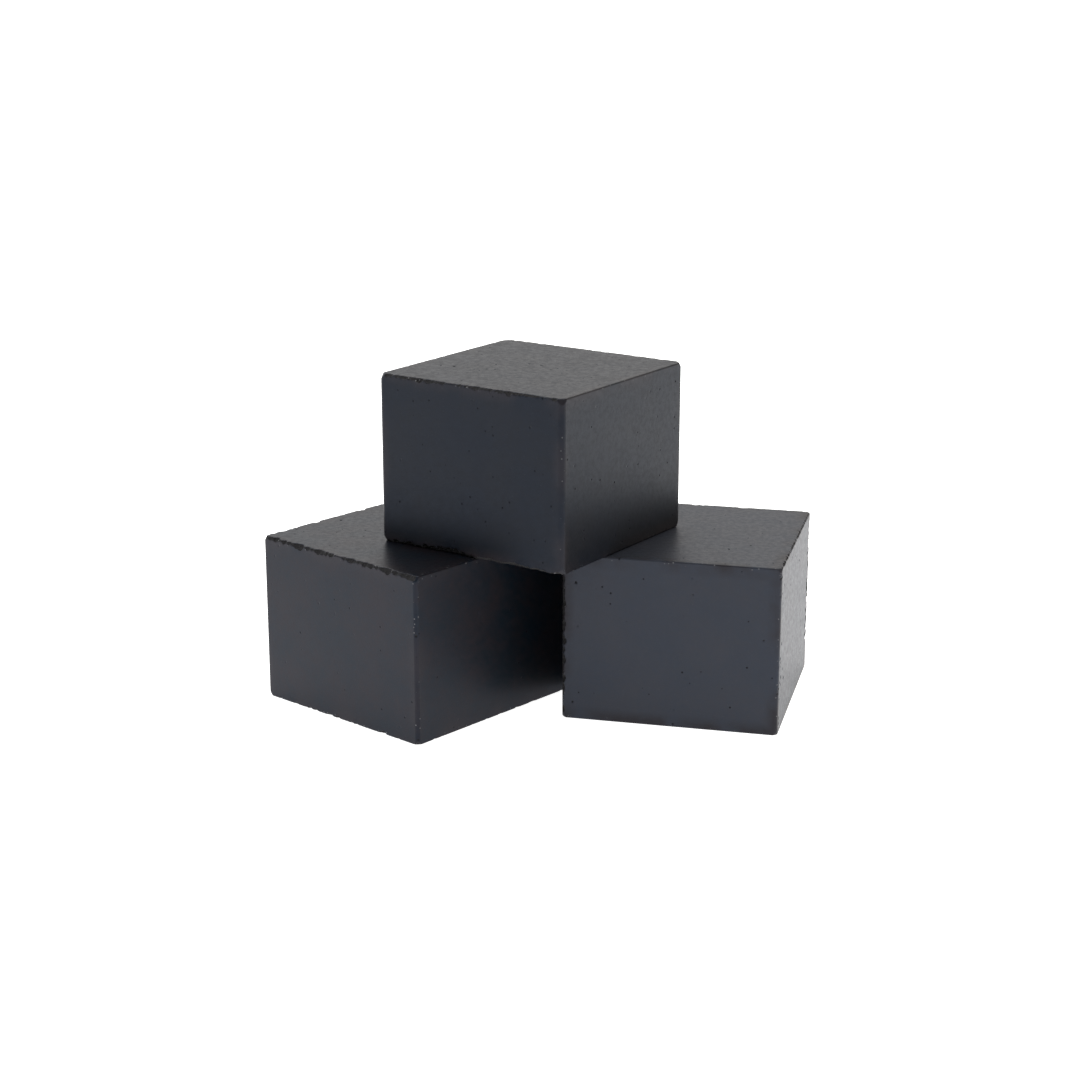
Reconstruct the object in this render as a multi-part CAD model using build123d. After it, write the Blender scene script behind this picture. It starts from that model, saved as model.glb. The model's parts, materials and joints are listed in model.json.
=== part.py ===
from build123d import *
import os

# Three pressed charcoal blocks, stacked as a bridge: two stand on the ground beside each other
# with a narrow gap, and the third lies across both.
#
# Millimetres. Z is up and the ground is Z = 0. X runs along the pair of lower blocks, Y from the
# front of the stack to its back. The origin is under the middle of the stack's bounding box.

# One block, pressed from charcoal dust: square in plan and a little lower than it is wide
block_side = 25.0           # both ways across
block_height = 19.7
upright_edge_radius = 0.4   # the four upright edges
level_edge_break = 0.15     # the edges round the top and the base

# How the blocks stand. A turn is in degrees, clockwise as seen from above.
left_turn = 41.9
right_turn = 13.9
top_turn = 34.4
pair_gap = 1.7              # from the left block's inner corner to the right block's side
corner_set_back = 9.4       # from the right block's front edge to that inner corner
top_shift_x = -3.9          # the top block's centre, from the same inner corner
top_shift_y = -0.8


def on_block(x, y, turn):
    """The level step (x, y), measured along the sides of a block with this turn."""
    return Vector(x, y).rotate(Axis.Z, -turn)


def charcoal_block(centre, turn, base_z):
    """One solid block, standing with its base at base_z and its middle over centre."""
    block = extrude(Rectangle(block_side, block_side), block_height)
    block = fillet(block.edges().filter_by(Axis.Z), upright_edge_radius)
    level_faces = block.faces().filter_by(Axis.Z)
    block = chamfer(level_faces.edges(), level_edge_break)
    return Pos(centre.X, centre.Y, base_z) * Rot(0, 0, -turn) * block


half_side = block_side / 2
left_centre = Vector(0, 0)
inner_corner = left_centre + on_block(half_side, half_side, left_turn)
corner_on_right = on_block(-half_side - pair_gap, corner_set_back - half_side, right_turn)
right_centre = inner_corner - corner_on_right
top_centre = inner_corner + Vector(top_shift_x, top_shift_y)

blocks = {
    "left_block": charcoal_block(left_centre, left_turn, 0),
    "right_block": charcoal_block(right_centre, right_turn, 0),
    "top_block": charcoal_block(top_centre, top_turn, block_height),
}

# The whole stack is moved so that the origin is under the middle of its bounding box
middle = Compound(list(blocks.values())).bounding_box().center()
os.makedirs("parts", exist_ok=True)
for name, block in blocks.items():
    placed = Pos(-middle.X, -middle.Y, 0) * block
    export_step(placed, f"parts/{name}.step")
    box = placed.bounding_box()
    print(name, "from", box.min, "to", box.max, "volume", round(placed.volume, 1))
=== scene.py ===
# %% [markdown]
# # Three pressed charcoal blocks
# Three loose blocks of pressed charcoal stand as a bridge: two on the table, one across both. A
# block is nothing but charcoal dust and a binder, so all of its character is in its skin: flat
# faces with a faint sheen, edges that crumble, small pits, and black scars where a flake has gone.
# The measured frame is loaded first, and every block is built around it.

# %% Load the frame
import json
import math
import random

import bpy
import numpy as np
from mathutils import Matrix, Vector
from mathutils.bvhtree import BVHTree

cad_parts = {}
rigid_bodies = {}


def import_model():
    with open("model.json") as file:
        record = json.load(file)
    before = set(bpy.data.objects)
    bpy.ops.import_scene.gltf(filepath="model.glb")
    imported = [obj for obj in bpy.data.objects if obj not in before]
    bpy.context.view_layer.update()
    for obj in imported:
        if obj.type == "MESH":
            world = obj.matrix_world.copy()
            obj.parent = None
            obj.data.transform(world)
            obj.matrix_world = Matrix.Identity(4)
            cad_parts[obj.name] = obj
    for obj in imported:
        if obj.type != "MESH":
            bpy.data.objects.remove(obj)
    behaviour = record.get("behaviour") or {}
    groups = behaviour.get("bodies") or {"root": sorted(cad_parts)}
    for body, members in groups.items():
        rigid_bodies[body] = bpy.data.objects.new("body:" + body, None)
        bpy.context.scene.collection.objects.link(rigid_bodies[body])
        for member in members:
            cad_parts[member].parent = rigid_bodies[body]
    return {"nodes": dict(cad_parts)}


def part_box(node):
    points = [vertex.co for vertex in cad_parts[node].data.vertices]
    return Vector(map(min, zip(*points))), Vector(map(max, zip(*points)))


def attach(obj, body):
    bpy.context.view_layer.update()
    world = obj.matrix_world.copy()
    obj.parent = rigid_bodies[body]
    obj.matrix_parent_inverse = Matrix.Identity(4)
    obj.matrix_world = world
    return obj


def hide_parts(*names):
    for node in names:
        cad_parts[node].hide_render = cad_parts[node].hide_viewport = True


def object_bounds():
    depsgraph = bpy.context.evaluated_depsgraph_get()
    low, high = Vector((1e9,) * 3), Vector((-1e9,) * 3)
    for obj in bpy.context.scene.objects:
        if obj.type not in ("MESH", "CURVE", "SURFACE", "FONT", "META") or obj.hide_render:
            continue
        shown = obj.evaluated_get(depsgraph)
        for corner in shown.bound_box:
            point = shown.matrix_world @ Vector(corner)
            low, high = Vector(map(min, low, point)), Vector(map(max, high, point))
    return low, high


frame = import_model()
cad_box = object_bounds()
MM = 0.001
print("nodes:", list(frame["nodes"]), "box:", cad_box)

# %% [markdown]
# Each block stands with a turn of its own, so its box in the frame doesn't say how it lies. The
# flat sides of the measured solid do: the largest upright triangle gives the turn, and the reach
# of the points along that side's normal gives the width. A new block made from these numbers
# follows the measured one wherever that goes.

# %% Read how each block stands
UPRIGHT = 0.01
QUARTER = math.radians(90)


class Stance:
    """Where a block stands: its middle, its turn clockwise from above, its width and height."""

    def __init__(self, node):
        low, high = (np.array(corner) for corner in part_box(node))
        mesh = frame["nodes"][node].data
        sides = [p for p in mesh.polygons if abs(p.normal.z) < UPRIGHT]
        flat = max(sides, key=lambda p: p.area).normal
        self.turn = QUARTER - math.atan2(flat.y, flat.x) % QUARTER
        reach = [v.co.x * flat.x + v.co.y * flat.y for v in mesh.vertices]
        self.middle = Vector((low + high) / 2)
        self.side = max(reach) - min(reach)
        self.height = high[2] - low[2]
        self.half = Vector((self.side, self.side, self.height)) / 2


stances = {node: Stance(node) for node in ("left_block", "right_block", "top_block")}
for node, stance in stances.items():
    print(node, "turn", round(math.degrees(stance.turn), 2), "side", round(stance.side / MM, 3),
          "height", round(stance.height / MM, 3), "middle", [round(v / MM, 2) for v in stance.middle])

# %% [markdown]
# A block is modelled upright at the origin, with its front towards -Y, its right side towards +X
# and its top towards +Z, because edges are easy to find there by their place. Three short helpers
# keep the work clean: an operator acts on everything that is selected, so each step first clears
# what the last one left, and a modifier is set up and applied in one go.

# %% Helpers for selecting and for modifiers
def clear_selection():
    """Leaves edit mode if need be, and deselects every object."""
    if bpy.context.mode != "OBJECT":
        bpy.ops.object.mode_set(mode="OBJECT")
    bpy.ops.object.select_all(action="DESELECT")


def select_only(piece):
    """Makes one object the only selected one, and the active one."""
    clear_selection()
    piece.select_set(True)
    bpy.context.view_layer.objects.active = piece


def select_edges(piece, wanted):
    """Goes to edit mode with those edges selected whose two ends both pass the test."""
    select_only(piece)
    bpy.ops.object.mode_set(mode="EDIT")
    bpy.ops.mesh.select_mode(type="EDGE")
    bpy.ops.mesh.select_all(action="DESELECT")
    bpy.ops.object.mode_set(mode="OBJECT")
    points = piece.data.vertices
    for edge in piece.data.edges:
        edge.select = all(wanted(points[i].co) for i in edge.vertices)
    bpy.ops.object.mode_set(mode="EDIT")


def apply_modifier(piece, kind, **settings):
    """Adds a modifier, sets it up and applies it at once."""
    select_only(piece)
    modifier = piece.modifiers.new(kind.lower(), kind)
    for name, value in settings.items():
        setattr(modifier, name, value)
    bpy.ops.object.modifier_apply(modifier=modifier.name)


# %% [markdown]
# ## The blank
# The press leaves a square block with nearly sharp edges. One Bevel modifier could round all of
# them alike, but each upright edge has worn differently, so a cube at the real size is bevelled in
# edit mode, one upright edge at a time, and then the level edges all round get a fine break. The
# corners wear fastest, so a ball just smaller than the block's own diagonal takes a little off all
# eight. A block is left a hair low, so that its top never lies in the same plane as the base of
# the block above it.

# %% Make the blank
CORNERS = {"front_left": (-1, -1), "front_right": (1, -1), "back_right": (1, 1), "back_left": (-1, 1)}
EDGE_BREAK = 0.12 * MM
ROUND_STEPS = 4
BREAK_STEPS = 2
BALL_STEPS = 256
STACKING_GAP = 0.01 * MM
NEAR = 0.001 * MM


def pressed_blank(name, stance, corner_radii, corner_wear):
    """A square block with rounded upright edges, broken level edges and worn corners.

    The radii and the corner wear, which is how much comes off each corner, are in millimetres."""
    clear_selection()
    bpy.ops.mesh.primitive_cube_add(
        size=1, scale=(stance.side, stance.side, stance.height - 2 * STACKING_GAP))
    blank = bpy.context.object
    blank.name = name + "_pressed"
    bpy.ops.object.transform_apply(location=False, rotation=False, scale=True)
    reach = stance.side / 2 - NEAR
    for corner, radius in corner_radii.items():
        toward_x, toward_y = CORNERS[corner]
        select_edges(blank, lambda p: p.x * toward_x > reach and p.y * toward_y > reach)
        bpy.ops.mesh.bevel(offset=radius * MM, segments=ROUND_STEPS, affect="EDGES")
    level = stance.height / 2 - STACKING_GAP - NEAR
    for up in (1, -1):
        select_edges(blank, lambda p: p.z * up > level)
        bpy.ops.mesh.bevel(offset=EDGE_BREAK, segments=BREAK_STEPS, affect="EDGES")
    clear_selection()
    bpy.ops.mesh.primitive_uv_sphere_add(
        segments=BALL_STEPS, ring_count=BALL_STEPS // 2,
        radius=stance.half.length - corner_wear * MM)
    ball = bpy.context.object
    apply_modifier(blank, "BOOLEAN", operation="INTERSECT", object=ball, solver="MANIFOLD")
    bpy.data.objects.remove(ball)
    return blank


# %% [markdown]
# ## Chips and pits
# Pressed dust has no grain, so it breaks in small round bites. An edge that has been knocked is a
# row of them, and a pit in a face is one bite on its own. A displaced surface could fake them, but
# it can't undercut and it blurs the lip of a chip, so here they are really cut away. Each bite is a
# small ball of a random stretch and turn, and all the balls of a block are one cutter. The cutter
# is remeshed so that balls that overlap become one skin, roughened so that the broken faces come
# out crumbly, and taken away from the blank. The draws are seeded, so the same chips come out each
# time.

# %% Places for chips
ALONG = None
EDGES = {"front_top": (ALONG, -1, 1), "back_top": (ALONG, 1, 1),
         "left_top": (-1, ALONG, 1), "right_top": (1, ALONG, 1),
         "front_base": (ALONG, -1, -1), "back_base": (ALONG, 1, -1),
         "left_base": (-1, ALONG, -1), "right_base": (1, ALONG, -1),
         "front_left": (-1, -1, ALONG), "front_right": (1, -1, ALONG),
         "back_left": (-1, 1, ALONG), "back_right": (1, 1, ALONG)}
FACES = {"front": (ALONG, -1, ALONG), "back": (ALONG, 1, ALONG), "left": (-1, ALONG, ALONG),
         "right": (1, ALONG, ALONG), "top": (ALONG, ALONG, 1)}


def outward(place):
    """The direction that points straight out of an edge or a face."""
    return Vector(side or 0 for side in place).normalized()


def spot(stance, place, *along):
    """A point on an edge or a face: the free coordinates are given in order, in millimetres."""
    free = iter(along)
    return Vector(next(free) * MM if side is ALONG else side * reach
                  for side, reach in zip(place, stance.half))


def free_axis(place):
    """The number of the axis that an edge runs along."""
    return place.index(ALONG)


# %% Cut bites
BITE_DETAIL = 2
BITE_LIFT = (0.1, 0.5)  # how far a ball's middle lies outside the edge, in radii
PIT_LIFT = 0.3  # the same for a pit and its face
BITE_STRETCH = (0.7, 1.25)
BITE_LENGTH = (0.8, 1.4)  # the stretch along the edge
BITE_TILT = 0.15  # the share of a free turn that a ball on an edge keeps
BITE_LEAN = 1.5  # above 1, more of the bites are near the smallest size
PIT_BATCH = 40  # balls in one object, because edit mode slows down as a mesh grows
CUTTER_VOXEL = 0.075 * MM
CRUMB_SIZE = 0.22 * MM
CRUMB_OCTAVES = 2
CRUMB_DEPTH = 0.13 * MM
CRUMB_MIDDLE = 0.5


def add_bite(draw, centre, radius, long_axis):
    """One small ball, stretched and turned at random: only a little if it lies along an edge."""
    scale = [draw.uniform(*BITE_STRETCH) for _ in range(3)]
    turn = [draw.uniform(-math.pi, math.pi) for _ in range(3)]
    if long_axis is not None:
        scale[long_axis] = draw.uniform(*BITE_LENGTH)
        turn = [angle * BITE_TILT for angle in turn]
    bpy.ops.mesh.primitive_ico_sphere_add(
        subdivisions=BITE_DETAIL, radius=radius, location=centre, rotation=turn, scale=scale)


def row_of_bites(draw, bites):
    """One object with a ball for each bite: a centre, a radius and the axis it is long along.

    The first ball makes the object and stays round, and the others are added in edit mode."""
    first_centre, first_radius, _ = bites[0]
    clear_selection()
    bpy.ops.mesh.primitive_ico_sphere_add(
        subdivisions=BITE_DETAIL, radius=first_radius, location=first_centre)
    row = bpy.context.object
    bpy.ops.object.transform_apply(location=True, rotation=False, scale=False)
    bpy.ops.object.mode_set(mode="EDIT")
    for centre, radius, long_axis in bites[1:]:
        add_bite(draw, centre, radius, long_axis)
    bpy.ops.object.mode_set(mode="OBJECT")
    return row


def bites_on_edge(draw, stance, edge, start, end, count, smallest, largest):
    """Bites strewn along a stretch of an edge, most of them nearer the smallest size."""
    place = EDGES[edge]
    for _ in range(count):
        radius = smallest + (largest - smallest) * draw.random() ** BITE_LEAN
        lift = radius * draw.uniform(*BITE_LIFT)
        centre = spot(stance, place, draw.uniform(start, end)) + outward(place) * lift * MM
        yield centre, radius * MM, free_axis(place)


def bites_on_face(stance, pits):
    """Single bites, each at its place on a face."""
    for face, across, up, radius in pits:
        lift = outward(FACES[face]) * radius * PIT_LIFT * MM
        yield spot(stance, FACES[face], across, up) + lift, radius * MM, None


def bite_cutter(stance, seed, chips, pits):
    """All the bites of a block as one closed, rough cutter."""
    draw = random.Random(seed)
    rows = [row_of_bites(draw, list(bites_on_edge(draw, stance, *chip))) for chip in chips]
    pit_bites = list(bites_on_face(stance, pits))
    rows += [row_of_bites(draw, pit_bites[i:i + PIT_BATCH])
             for i in range(0, len(pit_bites), PIT_BATCH)]
    select_only(rows[0])
    for row in rows:
        row.select_set(True)
    bpy.ops.object.join()
    cutter = rows[0]
    apply_modifier(cutter, "REMESH", mode="VOXEL", voxel_size=CUTTER_VOXEL)
    crumb = bpy.data.textures.new("crumb", "CLOUDS")
    crumb.noise_scale = CRUMB_SIZE
    crumb.noise_depth = CRUMB_OCTAVES
    apply_modifier(cutter, "DISPLACE", texture=crumb, strength=CRUMB_DEPTH,
                   mid_level=CRUMB_MIDDLE)
    return cutter


# %% [markdown]
# After the cut, the whole block is remeshed with one fine voxel, so that pits, chips and flat
# faces are one closed skin, and the flat stretches then give most of their triangles back to a
# decimation. How deep each point lies under the blank's skin is written on the mesh, because the
# material needs to know what is pressed skin and what is a fresh scar.

# %% Finish a block
BLOCK_VOXEL = 0.1 * MM
TRIANGLES = 185_000
SCAR_FROM = 0.018 * MM  # the depth where the skin begins to count as broken
SCAR_FULL = 0.06 * MM  # and where it does in full
SMOOTH_ANGLE = math.radians(35)
RIM_WIDTH = 1.6 * MM


def count_triangles(mesh):
    """How many triangles a mesh has once its faces are split into them."""
    return sum(len(p.vertices) - 2 for p in mesh.polygons)


def write_wear(piece, stance, blank_skin):
    """Stores two values on each point: how far it is broken away, and how near an edge it is."""
    depth = np.array([blank_skin.find_nearest(v.co)[3] for v in piece.data.vertices])
    broken = np.clip((depth - SCAR_FROM) / (SCAR_FULL - SCAR_FROM), 0, 1)
    points = np.array([v.co for v in piece.data.vertices])
    inset = np.sort(np.array(stance.half) - np.abs(points), axis=1)
    rim = np.clip(1 - inset[:, 1] / RIM_WIDTH, 0, 1)
    for name, values in (("broken", broken), ("rim", rim)):
        layer = piece.data.attributes.new(name, "FLOAT", "POINT")
        layer.data.foreach_set("value", values)
    return broken


def drop_loose_crumbs(piece):
    """Deletes the specks that the bites cut free: all that isn't joined to the base."""
    select_only(piece)
    bpy.ops.object.mode_set(mode="EDIT")
    bpy.ops.mesh.select_mode(type="VERT")
    bpy.ops.mesh.select_all(action="DESELECT")
    bpy.ops.object.mode_set(mode="OBJECT")
    under_middle = min(piece.data.vertices, key=lambda v: v.co.xy.length + v.co.z)
    under_middle.select = True
    bpy.ops.object.mode_set(mode="EDIT")
    bpy.ops.mesh.select_linked()
    bpy.ops.mesh.select_all(action="INVERT")
    bpy.ops.mesh.delete(type="VERT")
    bpy.ops.object.mode_set(mode="OBJECT")


def charcoal_block(name, seed, corner_radii, corner_wear, chips, pits):
    """One finished block, standing where its measured node stands."""
    stance = stances[name]
    piece = pressed_blank(name, stance, corner_radii, corner_wear)
    blank_skin = BVHTree.FromPolygons([v.co.copy() for v in piece.data.vertices],
                                      [p.vertices[:] for p in piece.data.polygons])
    cutter = bite_cutter(stance, seed, chips, pits)
    apply_modifier(piece, "BOOLEAN", operation="DIFFERENCE", object=cutter, solver="MANIFOLD")
    bpy.data.objects.remove(cutter)
    apply_modifier(piece, "REMESH", mode="VOXEL", voxel_size=BLOCK_VOXEL)
    points_cut = len(piece.data.vertices)
    drop_loose_crumbs(piece)
    print(name, "loose crumbs dropped, points:", points_cut - len(piece.data.vertices))
    share = TRIANGLES / count_triangles(piece.data)
    apply_modifier(piece, "DECIMATE", ratio=min(1.0, share), use_collapse_triangulate=True)
    broken = write_wear(piece, stance, blank_skin)
    piece.rotation_euler.z = -stance.turn
    piece.location = stance.middle
    select_only(piece)
    bpy.ops.object.transform_apply(location=True, rotation=True, scale=True)
    bpy.ops.object.shade_smooth_by_angle(angle=SMOOTH_ANGLE)
    print(piece.name, count_triangles(piece.data), "triangles, scarred share",
          round(float(broken.mean()), 3))
    return piece


# %% [markdown]
# ## Wear on every block
# A block that has been packed and handled has lost a few grains along every edge, and the press
# leaves small pores in its faces. Both are strewn at random, and an edge that is still crisp, or
# that would show a gap beside its neighbour, is spared. The bigger knocks come after, block by
# block.

# %% Wear that every block has
LIGHT_BITES = 24
LIGHT_SIZES = (0.12, 0.3)  # radii, in millimetres, as in every row of bites and pits
PORES = 20
PORE_SIZES = (0.08, 0.16)
KEEP_OFF = 0.5  # from the edges of a face
print("light wear:", LIGHT_BITES, "bites an edge,", PORES, "pores a face")


def light_wear(stance, spared=()):
    """Small bites along every edge but the spared ones, from end to end."""
    rows = []
    for edge, place in EDGES.items():
        reach = stance.half[free_axis(place)] / MM
        if edge not in spared:
            rows.append((edge, -reach, reach, LIGHT_BITES, *LIGHT_SIZES))
    return rows


def pores(stance, seed):
    """Small pits strewn over the five faces that can be seen."""
    draw = random.Random(seed)
    rows = []
    for face, place in FACES.items():
        reach = [half / MM - KEEP_OFF for side, half in zip(place, stance.half) if side is ALONG]
        for _ in range(PORES):
            rows.append((face, *(draw.uniform(-way, way) for way in reach),
                         draw.uniform(*PORE_SIZES)))
    return rows


# %% [markdown]
# ## The left block
# This block has had the hardest knocks: its front top edge is ragged from end to end. A row of
# small bites all along it gives the ragged line, and short rows of bigger ones, a few millimetres
# long, are the places where a flake has gone. Each row below says the edge, where the stretch
# starts and ends, how many bites it has, and the smallest and the largest radius, in millimetres
# from the middle of the edge.

# %% The left block
left_stance = stances["left_block"]
left_chips = light_wear(left_stance, spared=["back_right", "right_top"]) + [
    ("front_top", -12.3, 12.4, 130, 0.24, 0.44),
    ("front_top", -10.9, -9.5, 6, 0.42, 0.62),
    ("front_top", -7.1, -5.8, 6, 0.42, 0.7),
    ("front_top", -3.2, -0.7, 9, 0.38, 0.62),
    ("front_top", 1.4, 3.9, 9, 0.36, 0.58),
    ("front_top", 4.2, 5.5, 6, 0.36, 0.58),
    ("front_top", 7.1, 9.4, 9, 0.38, 0.66),
    ("front_top", 10.2, 12.3, 10, 0.42, 0.72),
    ("front_right", -9.2, 9.4, 50, 0.18, 0.32),
    ("front_base", -11, 12, 12, 0.26, 0.42),
    ("left_top", -11, 11, 16, 0.28, 0.5),
    ("back_top", -11, 11, 10, 0.35, 0.7),
    ("back_base", -11, 11, 8, 0.3, 0.7)]
left_pits = pores(left_stance, 12) + [("top", -10.6, -1.9, 0.22)]
left_piece = charcoal_block(
    "left_block", seed=13, corner_wear=0.4, chips=left_chips, pits=left_pits,
    corner_radii={"front_left": 0.4, "front_right": 0.4, "back_right": 0.4, "back_left": 0.5})

# %% [markdown]
# ## The right block
# The cleanest of the three: a fringe of bites down its front left edge, a few pits near the
# corners of its front, and a rough rear edge on its right side. Each pit says its face, its place
# from the middle of that face and its radius, in millimetres. The pits that crowd along the two
# upright edges of the right side are strewn by a loop, in two bands.

# %% The right block
right_stance = stances["right_block"]
right_chips = light_wear(right_stance, spared=["front_base", "front_top", "right_base"]) + [
    ("front_left", -9.0, 9.2, 60, 0.3, 0.58),
    ("front_right", 6.8, 9.0, 9, 0.28, 0.45),
    ("front_right", -8.0, 6.0, 30, 0.18, 0.32),
    ("back_right", -9.2, 9.2, 70, 0.32, 0.62),
    ("right_top", -12.3, 12.3, 150, 0.2, 0.27),
    ("back_top", -11, 11, 5, 0.28, 0.45),
    ("back_base", -11, 11, 8, 0.3, 0.7)]
right_pits = pores(right_stance, 22) + [
    ("front", -10.9, 6.6, 0.19), ("front", -10.6, 1.4, 0.18), ("front", -10.8, -0.4, 0.16),
    ("front", -11.2, -7.8, 0.18), ("front", 10.7, 1.4, 0.18), ("front", 3.0, 7.8, 0.13),
    ("front", 2.6, 6.2, 0.13), ("front", -3.4, -2.1, 0.13), ("right", -9.6, -2.8, 0.3),
    ("right", -8.6, -4.2, 0.28), ("right", 4.0, -9.3, 0.24), ("right", 3.1, 6.4, 0.22),
    ("right", -10.0, 7.3, 0.24)]
REAR_PIT = 0.36
right_pits += [("right", across, up, REAR_PIT) for across, up in (
    (11.5, -0.5), (11.0, -2.2), (10.5, -4.1), (11.5, -5.9), (11.0, -5.3), (11.3, -3.4))]
SIDE_BANDS = [  # how many pits, from and to across the side, from and to up it, radii
    (22, (10.8, 12.2), (-7.5, 9.0), (0.26, 0.5)),
    (14, (-12.1, -10.8), (-9.0, 9.0), (0.16, 0.3))]
side_draw = random.Random(24)
for count, across, up, radii in SIDE_BANDS:
    for _ in range(count):
        right_pits.append(("right", *(side_draw.uniform(*span) for span in (across, up, radii))))
right_piece = charcoal_block(
    "right_block", seed=23, corner_wear=0.34, chips=right_chips, pits=right_pits,
    corner_radii={"front_left": 0.4, "front_right": 0.4, "back_right": 0.4, "back_left": 0.6})

# %% [markdown]
# ## The top block
# Its front base edge is broken from end to end, and deepest left of the middle. One big ball there
# would leave a neat scoop, so rows that overlap add up to a wide, ragged break. The rest is
# lighter, and the back left edge is the most rounded of all.

# %% The top block
top_stance = stances["top_block"]
top_chips = light_wear(top_stance, spared=["right_top", "right_base"]) + [
    ("front_top", -12.2, 12.2, 120, 0.22, 0.38),
    ("front_top", -6.9, -5.5, 6, 0.34, 0.5),
    ("front_top", 0.7, 2.1, 6, 0.34, 0.5),
    ("front_top", 4.2, 5.9, 7, 0.34, 0.54),
    ("front_base", -11.6, 12.2, 110, 0.26, 0.48),
    ("front_base", -10.7, 0.0, 22, 0.45, 0.72),
    ("front_base", -6.0, -1.0, 12, 0.55, 0.95),
    ("front_base", 1.7, 3.3, 6, 0.42, 0.62),
    ("front_base", 4.8, 6.9, 7, 0.42, 0.62),
    ("front_left", -9.0, 9.0, 16, 0.2, 0.36),
    ("back_top", -11, 11, 6, 0.3, 0.5),
    ("left_base", -11, 11, 12, 0.35, 0.65)]
top_pits = pores(top_stance, 32) + [
    ("top", -7.8, -4.6, 0.22), ("top", -9.4, -5.0, 0.2), ("top", 0.1, 1.5, 0.22),
    ("top", -3.2, 2.8, 0.2), ("top", -4.9, -4.7, 0.2)]
top_piece = charcoal_block(
    "top_block", seed=33, corner_wear=0.5, chips=top_chips, pits=top_pits,
    corner_radii={"front_left": 0.5, "front_right": 0.55, "back_right": 0.6, "back_left": 1.4})

# %% [markdown]
# ## The finish
# Pressed charcoal is nearly black, and what is seen of it is its sheen: the imported skin reflects
# a little, more and more at a flat angle, and a little bluer than the light that falls on it. So
# the colour is close to nothing, and the gloss does the work. The skin isn't even: it clouds over
# a few millimetres, it is speckled with fine pores, and here and there a pale grain of dust sits
# on it. Along the edges these pale dots are thicker, and there they are partly dust and partly
# painted glints, bright flecks of highlight painted into the colour. All of these patterns are
# noise on the object's own coordinates, so they stay with the block when it moves.

# %% Node helpers
class Nodes:
    """A thin layer over a node tree: adds a node, sets its sockets and links what is linked."""

    def __init__(self, tree):
        self.tree = tree

    def add(self, kind, sockets=None, **settings):
        """One node. A socket given as a value is linked, and any other value is set."""
        node = self.tree.nodes.new(kind)
        for name, value in settings.items():
            setattr(node, name, value)
        for name, value in (sockets or {}).items():
            if isinstance(value, bpy.types.NodeSocket):
                self.tree.links.new(value, node.inputs[name])
            else:
                node.inputs[name].default_value = value
        return node

    def noise(self, place, size, detail=3.0, shift=0.0):
        """Cloudy noise with lumps of the given size in metres."""
        moved = self.add("ShaderNodeMapping", {"Vector": place, "Location": (shift, shift, 0)})
        return self.add("ShaderNodeTexNoise", {
            "Vector": moved.outputs[0], "Scale": 1 / size, "Detail": detail}).outputs["Fac"]

    def spread(self, value, low, high, to_low=0.0, to_high=1.0):
        """Maps a value from one range to another, and stops at the ends."""
        return self.add("ShaderNodeMapRange", {
            "Value": value, "From Min": low, "From Max": high,
            "To Min": to_low, "To Max": to_high}).outputs["Result"]

    def math(self, operation, one, two):
        """The result of one sum on two values."""
        return self.add("ShaderNodeMath", {0: one, 1: two}, operation=operation).outputs[0]

    def weighted(self, one, two, weights):
        """The sum of two values, each times its weight."""
        return self.math("ADD", self.math("MULTIPLY", one, weights[0]),
                         self.math("MULTIPLY", two, weights[1]))

    def blend(self, share, one, two):
        """A colour between two, by share."""
        return self.add("ShaderNodeMix", {0: share, 6: one, 7: two}, data_type="RGBA").outputs[2]


# %% Specks
DOT_CORE = 0.5


def specks(nodes, place, spacing, size, share, shift):
    """Round dots: 1 in a dot and 0 outside, with only a share of the cells filled."""
    moved = nodes.add("ShaderNodeMapping", {"Vector": place, "Location": (shift, -shift, shift)})
    cells = nodes.add("ShaderNodeTexVoronoi", {"Vector": moved.outputs[0], "Scale": 1 / spacing})
    reach = size / spacing / 2
    dot = nodes.spread(cells.outputs["Distance"], reach, reach * DOT_CORE)
    pick = nodes.add("ShaderNodeSeparateColor", {"Color": cells.outputs["Color"]}).outputs[0]
    return nodes.math("MULTIPLY", dot, nodes.math("LESS_THAN", pick, share))


# %% [markdown]
# The sizes and colours of the skin come first, as named values: a patch of cloud is a few
# millimetres across, a lump of mottle half a millimetre, and a grain a sixth of a millimetre. The
# same noises drive the colour, the roughness and the bump, so that what is pale is also dull and a
# little raised, and a pore is at once black, rough and deep. Two values that were stored on the
# mesh steer the rest: the rim, where the skin is rubbed brown and dotted pale, partly with dust and
# partly with painted glints, and what is broken away.

# %% The pressed skin
CLOUD_SIZE = 5 * MM
MOTTLE_SIZE = 0.55 * MM
GRAIN_SIZE = 0.16 * MM
PORE_SPACING = 0.9 * MM
PORE_DOT = 0.3 * MM
PORE_SHARE = 0.16
# Pale dots: dust on the faces, and along the edges partly dust and partly painted glints.
DUST_AND_GLINT_SPACING = 0.45 * MM
DUST_AND_GLINT_DOT = 0.21 * MM
DUST_AND_GLINT_SHARE = 0.45
DUST_ON_FACES = 0.015
RUBBED_BROWN = (0.0115, 0.009, 0.0095, 1)
PORE_BLACK = (0.002, 0.002, 0.0024, 1)
DUST_AND_GLINT_GREY = (0.17, 0.17, 0.17, 1)
MOTTLE_ROUGHNESS = 0.045
GRAIN_ROUGHNESS = 0.035
PORE_ROUGHNESS = 0.4
SCAR_ROUGHNESS = 0.8
PORE_DEPTH = 3.0
SKIN_BUMP = {"Strength": 0.55, "Distance": 0.012 * MM}
UNEVEN_WEIGHTS = (0.6, 0.4)
HEIGHT_WEIGHTS = (0.7, 0.3)
UNEVEN_SPAN = (0.38, 0.62)
RUBBED_CLOUDS = (0.4, 0.6)
RUBBED_RIM = (0.0, 0.7)
DUST_AND_GLINT_RIM = (0.68, 0.88)
MOTTLE_SPAN = (0.35, 0.65)
GRAIN_SPAN = (0.3, 0.7)


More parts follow.
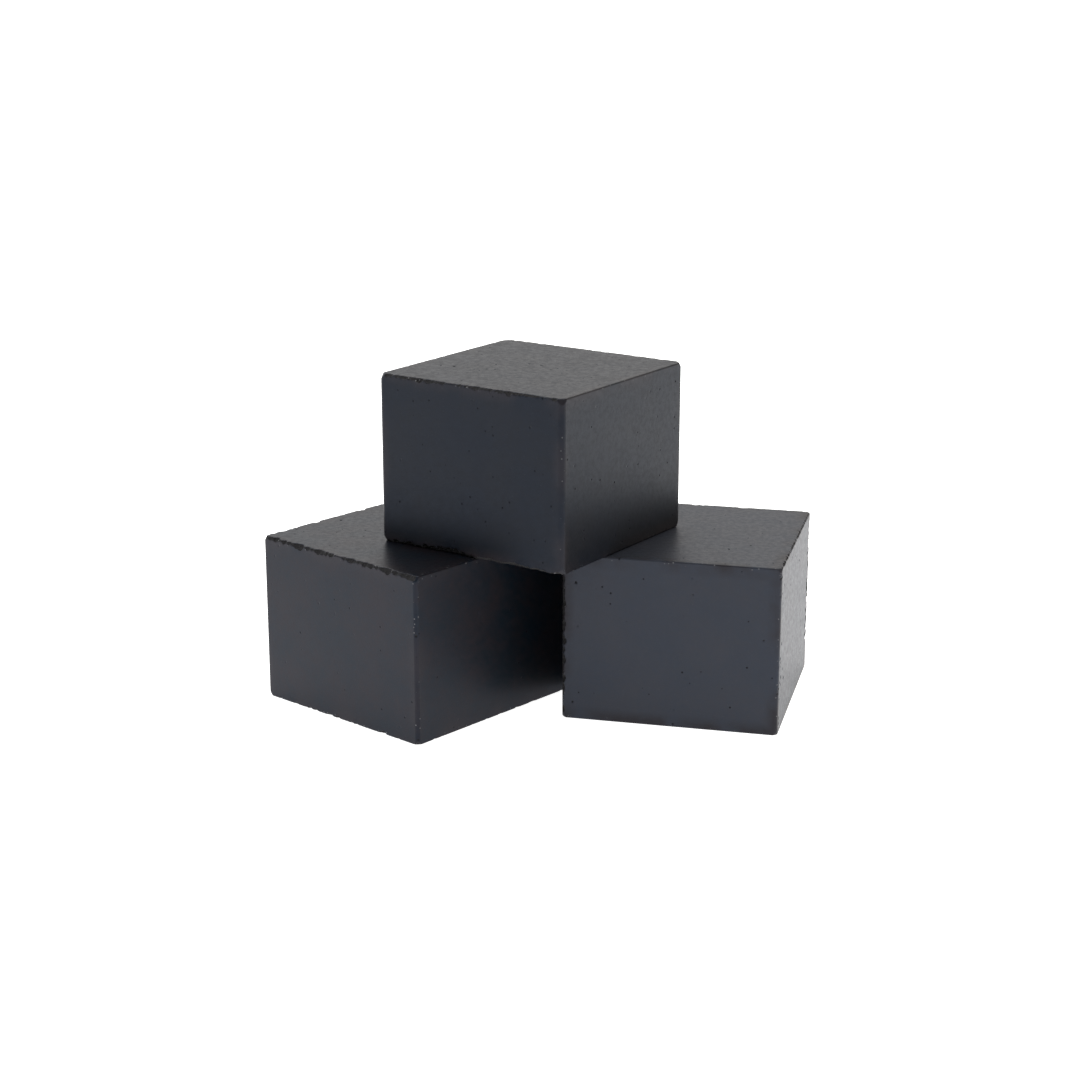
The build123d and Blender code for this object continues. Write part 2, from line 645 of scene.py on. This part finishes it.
def pressed_skin(name, dark, light, roughness, ior, tint, rim_dust_and_glints, shift):
    """The faintly glossy skin of a pressed block. The argument before shift sets how many pale dots
    show on its edges, which are partly dust and partly painted glints.
    """
    material = bpy.data.materials.new(name)
    material.use_nodes = True
    nodes = Nodes(material.node_tree)
    shader = material.node_tree.nodes["Principled BSDF"]
    place = nodes.add("ShaderNodeTexCoord").outputs["Object"]
    clouds = nodes.noise(place, CLOUD_SIZE, shift=shift)
    mottle = nodes.noise(place, MOTTLE_SIZE, detail=4.0, shift=-shift)
    grain = nodes.noise(place, GRAIN_SIZE, detail=2.0, shift=shift)
    pores_seen = specks(nodes, place, PORE_SPACING, PORE_DOT, PORE_SHARE, shift)
    dust_and_glint_dots = specks(nodes, place, DUST_AND_GLINT_SPACING, DUST_AND_GLINT_DOT, DUST_AND_GLINT_SHARE, -shift)
    broken = nodes.add("ShaderNodeAttribute", attribute_name="broken").outputs["Fac"]
    rim = nodes.add("ShaderNodeAttribute", attribute_name="rim").outputs["Fac"]

    uneven = nodes.weighted(clouds, mottle, UNEVEN_WEIGHTS)
    colour = nodes.blend(nodes.spread(uneven, *UNEVEN_SPAN), (*dark, 1), (*light, 1))
    rubbed = nodes.math("MULTIPLY", nodes.spread(rim, *RUBBED_RIM),
                        nodes.spread(clouds, *RUBBED_CLOUDS))
    colour = nodes.blend(rubbed, colour, RUBBED_BROWN)
    colour = nodes.blend(nodes.math("MAXIMUM", pores_seen, broken), colour, PORE_BLACK)
    # Along the edges the pale dots grow thicker: there they are partly dust and partly painted
    # glints, highlights painted into the colour.
    dust_and_glints_seen = nodes.math("MULTIPLY", dust_and_glint_dots, nodes.spread(rim, *DUST_AND_GLINT_RIM, DUST_ON_FACES, rim_dust_and_glints))
    colour = nodes.blend(dust_and_glints_seen, colour, DUST_AND_GLINT_GREY)
    material.node_tree.links.new(colour, shader.inputs["Base Color"])

    rough = nodes.spread(mottle, *MOTTLE_SPAN, roughness - MOTTLE_ROUGHNESS,
                         roughness + MOTTLE_ROUGHNESS)
    rough = nodes.math(
        "ADD", rough, nodes.spread(grain, *GRAIN_SPAN, -GRAIN_ROUGHNESS, GRAIN_ROUGHNESS))
    rough = nodes.math("ADD", rough, nodes.math("MULTIPLY", pores_seen, PORE_ROUGHNESS))
    rough = nodes.math("MAXIMUM", rough, nodes.math("MULTIPLY", broken, SCAR_ROUGHNESS))
    material.node_tree.links.new(rough, shader.inputs["Roughness"])

    height = nodes.weighted(grain, mottle, HEIGHT_WEIGHTS)
    height = nodes.math("SUBTRACT", height, nodes.math("MULTIPLY", pores_seen, PORE_DEPTH))
    bump = nodes.add("ShaderNodeBump", {"Height": height, **SKIN_BUMP})
    material.node_tree.links.new(bump.outputs[0], shader.inputs["Normal"])
    shader.inputs["IOR"].default_value = ior
    shader.inputs["Specular Tint"].default_value = (*tint, 1)
    return material


# %% [markdown]
# A fresh scar is the same stuff without the packing: loose grains that swallow the light. It is
# rougher, it hardly reflects, and a few of its grains catch the light: those glints are painted into
# its colour as pale dots, painted highlights.

# %% The broken charcoal
SCAR_GRAIN = 0.2 * MM
SCAR_DARK = (0.003, 0.003, 0.0035, 1)
SCAR_LIGHT = (0.016, 0.015, 0.016, 1)
CRUMB_GLINT_SPACING = 0.42 * MM
CRUMB_GLINT_DOT = 0.26 * MM
CRUMB_GLINT_SHARE = 0.22
CRUMB_GLINT_PALE = (0.1, 0.1, 0.105, 1)
SCAR_BUMP = {"Strength": 0.8, "Distance": 0.05 * MM}
SCAR_SPAN = (0.35, 0.7)
SCAR_MATT = 0.9
SCAR_SPECULAR = 0.3


def broken_charcoal(name):
    """The matt, crumbly inside of a block, with a few pale dots that are painted glints."""
    material = bpy.data.materials.new(name)
    material.use_nodes = True
    nodes = Nodes(material.node_tree)
    shader = material.node_tree.nodes["Principled BSDF"]
    place = nodes.add("ShaderNodeTexCoord").outputs["Object"]
    grains = nodes.noise(place, SCAR_GRAIN, detail=4.0)
    # Pale dots on a few grains: painted glints, highlights painted into the colour.
    crumbs = specks(nodes, place, CRUMB_GLINT_SPACING, CRUMB_GLINT_DOT, CRUMB_GLINT_SHARE, 0.0)
    colour = nodes.blend(nodes.spread(grains, *SCAR_SPAN), SCAR_DARK, SCAR_LIGHT)
    colour = nodes.blend(crumbs, colour, CRUMB_GLINT_PALE)
    material.node_tree.links.new(colour, shader.inputs["Base Color"])
    bump = nodes.add("ShaderNodeBump", {"Height": grains, **SCAR_BUMP})
    material.node_tree.links.new(bump.outputs[0], shader.inputs["Normal"])
    shader.inputs["Roughness"].default_value = SCAR_MATT
    shader.inputs["Specular IOR Level"].default_value = SCAR_SPECULAR
    return material


# %% [markdown]
# Each block gets its own skin, because the three don't look alike: the left one clouds from blue to
# brown and has the most pale dots on its edges, which are partly dust and partly painted glints, the
# right one is the palest and dullest, and the top one is the darkest. A triangle that is mostly
# broken away takes the scar instead. Then each piece takes the place of its measured node and rides
# on that block's body.

# %% Put the finishes on
SCAR_SHARE = 0.5
scar = broken_charcoal("broken_charcoal")
skins = {
    "left_block": pressed_skin(
        "pressed_left", dark=(0.0024, 0.0048, 0.0078), light=(0.0085, 0.006, 0.0068),
        roughness=0.37, ior=1.308, tint=(0.7, 0.77, 1.0), rim_dust_and_glints=1.0, shift=0.011),
    "right_block": pressed_skin(
        "pressed_right", dark=(0.017, 0.02, 0.0275), light=(0.021, 0.022, 0.0275),
        roughness=0.43, ior=1.33, tint=(0.76, 0.83, 1.0), rim_dust_and_glints=0.5, shift=0.023),
    "top_block": pressed_skin(
        "pressed_top", dark=(0.0025, 0.0033, 0.0056), light=(0.0045, 0.0044, 0.0053),
        roughness=0.41, ior=1.305, tint=(0.66, 0.77, 1.0), rim_dust_and_glints=0.3, shift=0.037)}


def dress(piece, skin):
    """The skin goes on the whole block, and the scar on the triangles that are broken away."""
    piece.data.materials.clear()
    piece.data.materials.append(skin)
    piece.data.materials.append(scar)
    mesh = piece.data
    broken = np.empty(len(mesh.vertices))
    mesh.attributes["broken"].data.foreach_get("value", broken)
    for polygon in mesh.polygons:
        share = sum(broken[i] for i in polygon.vertices) / len(polygon.vertices)
        polygon.material_index = int(share > SCAR_SHARE)


pieces = {"left_block": left_piece, "right_block": right_piece, "top_block": top_piece}
for node, piece in pieces.items():
    dress(piece, skins[node])
    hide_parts(node)
    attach(piece, node)
    print("dressed", piece.name, "with", skins[node].name)

# %% [markdown]
# ## The table and the light
# The blocks stand on a plain white table top. It glows a little, as a lit table does, because
# much of what the dark skin shows is the table mirrored in it.

# %% The table
TABLE_SIZE = 8.0
TABLE_COLOUR = (0.9, 0.9, 0.9, 1)
TABLE_ROUGHNESS = 0.9
TABLE_GLOW = 0.95
clear_selection()
bpy.ops.mesh.primitive_plane_add(size=TABLE_SIZE)
table = bpy.context.object
table.name = "table_top"
table_white = bpy.data.materials.new("table_white")
table_white.use_nodes = True
table_shader = table_white.node_tree.nodes["Principled BSDF"]
table_shader.inputs["Base Color"].default_value = TABLE_COLOUR
table_shader.inputs["Roughness"].default_value = TABLE_ROUGHNESS
table_shader.inputs["Specular IOR Level"].default_value = 0.0
table_shader.inputs["Emission Color"].default_value = (1, 1, 1, 1)
table_shader.inputs["Emission Strength"].default_value = TABLE_GLOW
table.data.materials.append(table_white)
print("table", table.name, TABLE_SIZE, "m across")

# %% [markdown]
# A single lamp would leave the sides of such dark blocks black, so the room itself gives light. It
# is brighter behind the blocks than in front of them, so that the top faces shine and the front
# faces stay dark, and it is a little cooler on the left than on the right.

# %% The room
ROOM_FRONT = 0.55
ROOM_BACK = 1.15
COOL_LEFT = (1.0, 1.05, 1.12)
WARM_RIGHT = (0.93, 0.85, 0.74)
room = bpy.data.worlds.new("studio_room")
bpy.context.scene.world = room
room.use_nodes = True
room_nodes = Nodes(room.node_tree)
looking = room_nodes.add("ShaderNodeTexCoord").outputs["Generated"]
along_depth = room_nodes.add("ShaderNodeSeparateXYZ", {0: looking}).outputs["Y"]
strength = room_nodes.spread(along_depth, -1.0, 1.0, ROOM_FRONT, ROOM_BACK)
room.node_tree.links.new(strength, room.node_tree.nodes["Background"].inputs["Strength"])
across_room = room_nodes.add("ShaderNodeSeparateXYZ", {0: looking}).outputs["X"]
room_colour = room_nodes.blend(
    room_nodes.spread(across_room, -1.0, 1.0), (*COOL_LEFT, 1), (*WARM_RIGHT, 1))
room.node_tree.links.new(room_colour, room.node_tree.nodes["Background"].inputs["Color"])

# %% [markdown]
# One large soft lamp hangs over the table. It is nearly as wide as it is high above the blocks, so
# that no shadow has a hard edge.

# %% The lamp
LAMP_SIZE = 0.8
LAMP_POWER = 6.0
LAMP_PLACE = Vector((0, 0.1, 0.9))
middle = (Vector(cad_box[0]) + Vector(cad_box[1])) / 2
lamp = bpy.data.objects.new("soft_lamp", bpy.data.lights.new("soft_lamp", "AREA"))
lamp.data.shape = "SQUARE"
lamp.data.size = LAMP_SIZE
lamp.data.energy = LAMP_POWER
lamp.location = LAMP_PLACE
lamp.rotation_euler = (middle - LAMP_PLACE).to_track_quat("-Z", "Y").to_euler()
bpy.context.collection.objects.link(lamp)
print("lamp", LAMP_POWER, "W at", tuple(LAMP_PLACE))

# %% [markdown]
# ## The camera
# The camera looks at the stack from the front, a quarter of a metre away and a little from above,
# through a long lens, which keeps the upright edges nearly parallel.

# %% The camera
LENS = 72.9
SENSOR = 36.0
CLIP_START = 0.01
DISTANCE = 255.7 * MM
LOOK_DOWN = math.radians(16.05)
AIM_SHIFT = Vector((-0.31, 0, -0.83)) * MM
camera = bpy.data.objects.new("camera", bpy.data.cameras.new("camera"))
camera.data.lens = LENS
camera.data.sensor_width = SENSOR
camera.data.clip_start = CLIP_START
aim = middle + AIM_SHIFT
camera.location = aim + Vector((0, -math.cos(LOOK_DOWN), math.sin(LOOK_DOWN))) * DISTANCE
camera.rotation_euler = (math.radians(90) - LOOK_DOWN, 0, 0)
bpy.context.collection.objects.link(camera)
bpy.context.scene.camera = camera
bpy.context.scene.view_settings.view_transform = "Standard"
print("camera", [round(v / MM, 2) for v in camera.location])
